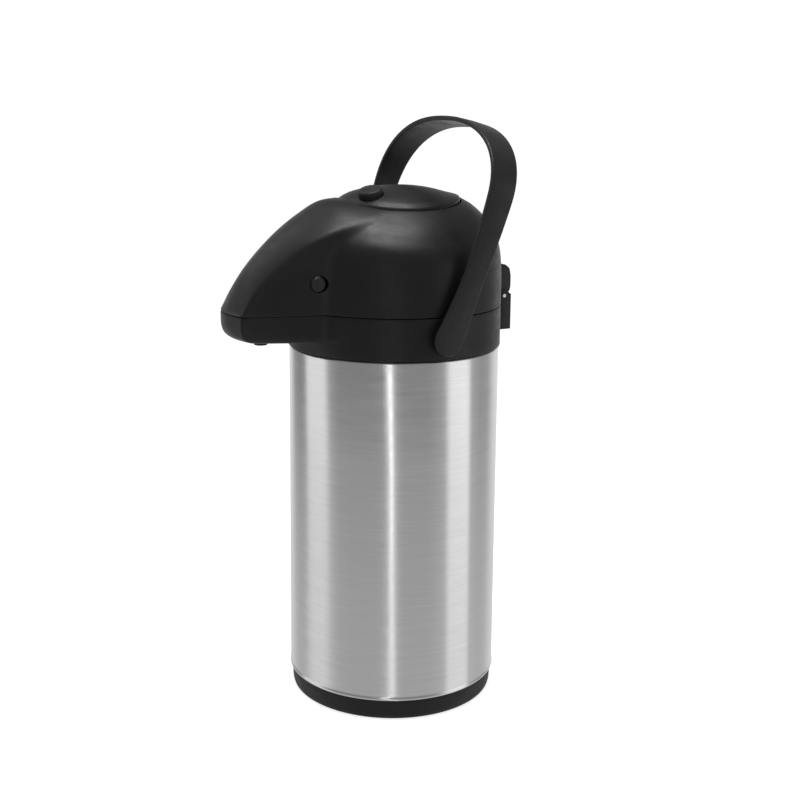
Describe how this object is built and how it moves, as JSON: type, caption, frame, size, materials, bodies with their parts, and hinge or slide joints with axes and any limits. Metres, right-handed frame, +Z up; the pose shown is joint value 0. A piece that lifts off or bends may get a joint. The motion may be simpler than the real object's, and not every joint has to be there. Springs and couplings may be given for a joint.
{
  "type": "airpot",
  "caption": "Push-button airpot: double-wall steel flask with a pump lid, a spout beak, a rear lid hinge, side release buttons and a swinging carry handle.",
  "frame": {"origin": "middle of the base on the surface the airpot stands on", "axes": "+Z up; -Y is where the spout points, +Y the lid hinge; the carry handle turns about X"},
  "size_m": [0.1844, 0.2442, 0.4577],
  "materials": {
    "brushed_steel": "fine circumferential brushing, satin",
    "flask_steel": "plain drawn steel",
    "black_moulding": "black, fine satin grain",
    "handle_black": "black, satin",
    "base_black": "black, matt",
    "inner_moulding": "dark grey, matt",
    "rubber": "matt",
    "silicone": "soft, pale",
    "tube_plastic": "pale, smooth",
    "spring_wire": "bright steel"
  },
  "bodies": {
    "vessel": {"base_cap": "base_black", "base_pad": "rubber", "outer_shell": "brushed_steel", "flask_wall": "flask_steel", "flask_floor": "flask_steel", "flask_neck": "flask_steel", "neck_gasket": "rubber", "collar": "black_moulding", "hinge_bracket": "black_moulding", "hinge_pin": "spring_wire", "bracket_screw_1": "spring_wire", "bracket_screw_2": "spring_wire", "stopper": "inner_moulding", "stopper_seal": "silicone", "dip_tube": "tube_plastic"},
    "handle": {"carry_handle": "handle_black"},
    "lid": {"lid_shell": "black_moulding", "hinge_leaf": "black_moulding", "lid_base": "inner_moulding", "lid_seal": "silicone", "spout_pipe": "tube_plastic", "outlet_seal": "silicone", "spout_nozzle": "black_moulding", "pump_plate": "inner_moulding", "pump_screw_1": "spring_wire", "pump_screw_2": "spring_wire", "pump_screw_3": "spring_wire", "pump_screw_4": "spring_wire", "air_duct": "inner_moulding", "check_valve": "silicone", "bellows": "rubber", "return_spring": "spring_wire"},
    "button": {"push_button": "black_moulding", "bellows_cap": "inner_moulding"},
    "lock": {"lock_knob": "handle_black"},
    "release_left": {"release_button_left": "handle_black"},
    "release_right": {"release_button_right": "handle_black"}
  },
  "joints": [
    {"name": "lid_hinge", "type": "hinge", "parent": "vessel", "child": "lid", "pos_m": [0, 0.0965, 0.313], "axis": [-1, 0, 0], "range_deg": [0, 24]},
    {"name": "handle_swing", "type": "hinge", "parent": "vessel", "child": "handle", "pos_m": [0, -0.0025, 0.2965], "axis": [1, 0, 0], "range_deg": [-65, 105]},
    {"name": "push_button_slide", "type": "slide", "parent": "lid", "child": "button", "axis": [0, 0, -1], "range_m": [0, 0.028], "stiffness_N_per_m": 250, "springref_m": -0.004, "deforming": ["bellows", "return_spring"]},
    {"name": "lock_turn", "type": "hinge", "parent": "button", "child": "lock", "pos_m": [0.0183, -0.0301, 0.3988], "axis": [0.21, -0.247, 0.946], "range_deg": [0, 90]},
    {"name": "release_left_press", "type": "slide", "parent": "lid", "child": "release_left", "axis": [1, 0, 0], "range_m": [0, 0.0025], "stiffness_N_per_m": 400, "springref_m": -0.002},
    {"name": "release_right_press", "type": "slide", "parent": "lid", "child": "release_right", "axis": [-1, 0, 0], "range_m": [0, 0.0025], "stiffness_N_per_m": 400, "springref_m": -0.002}
  ]
}
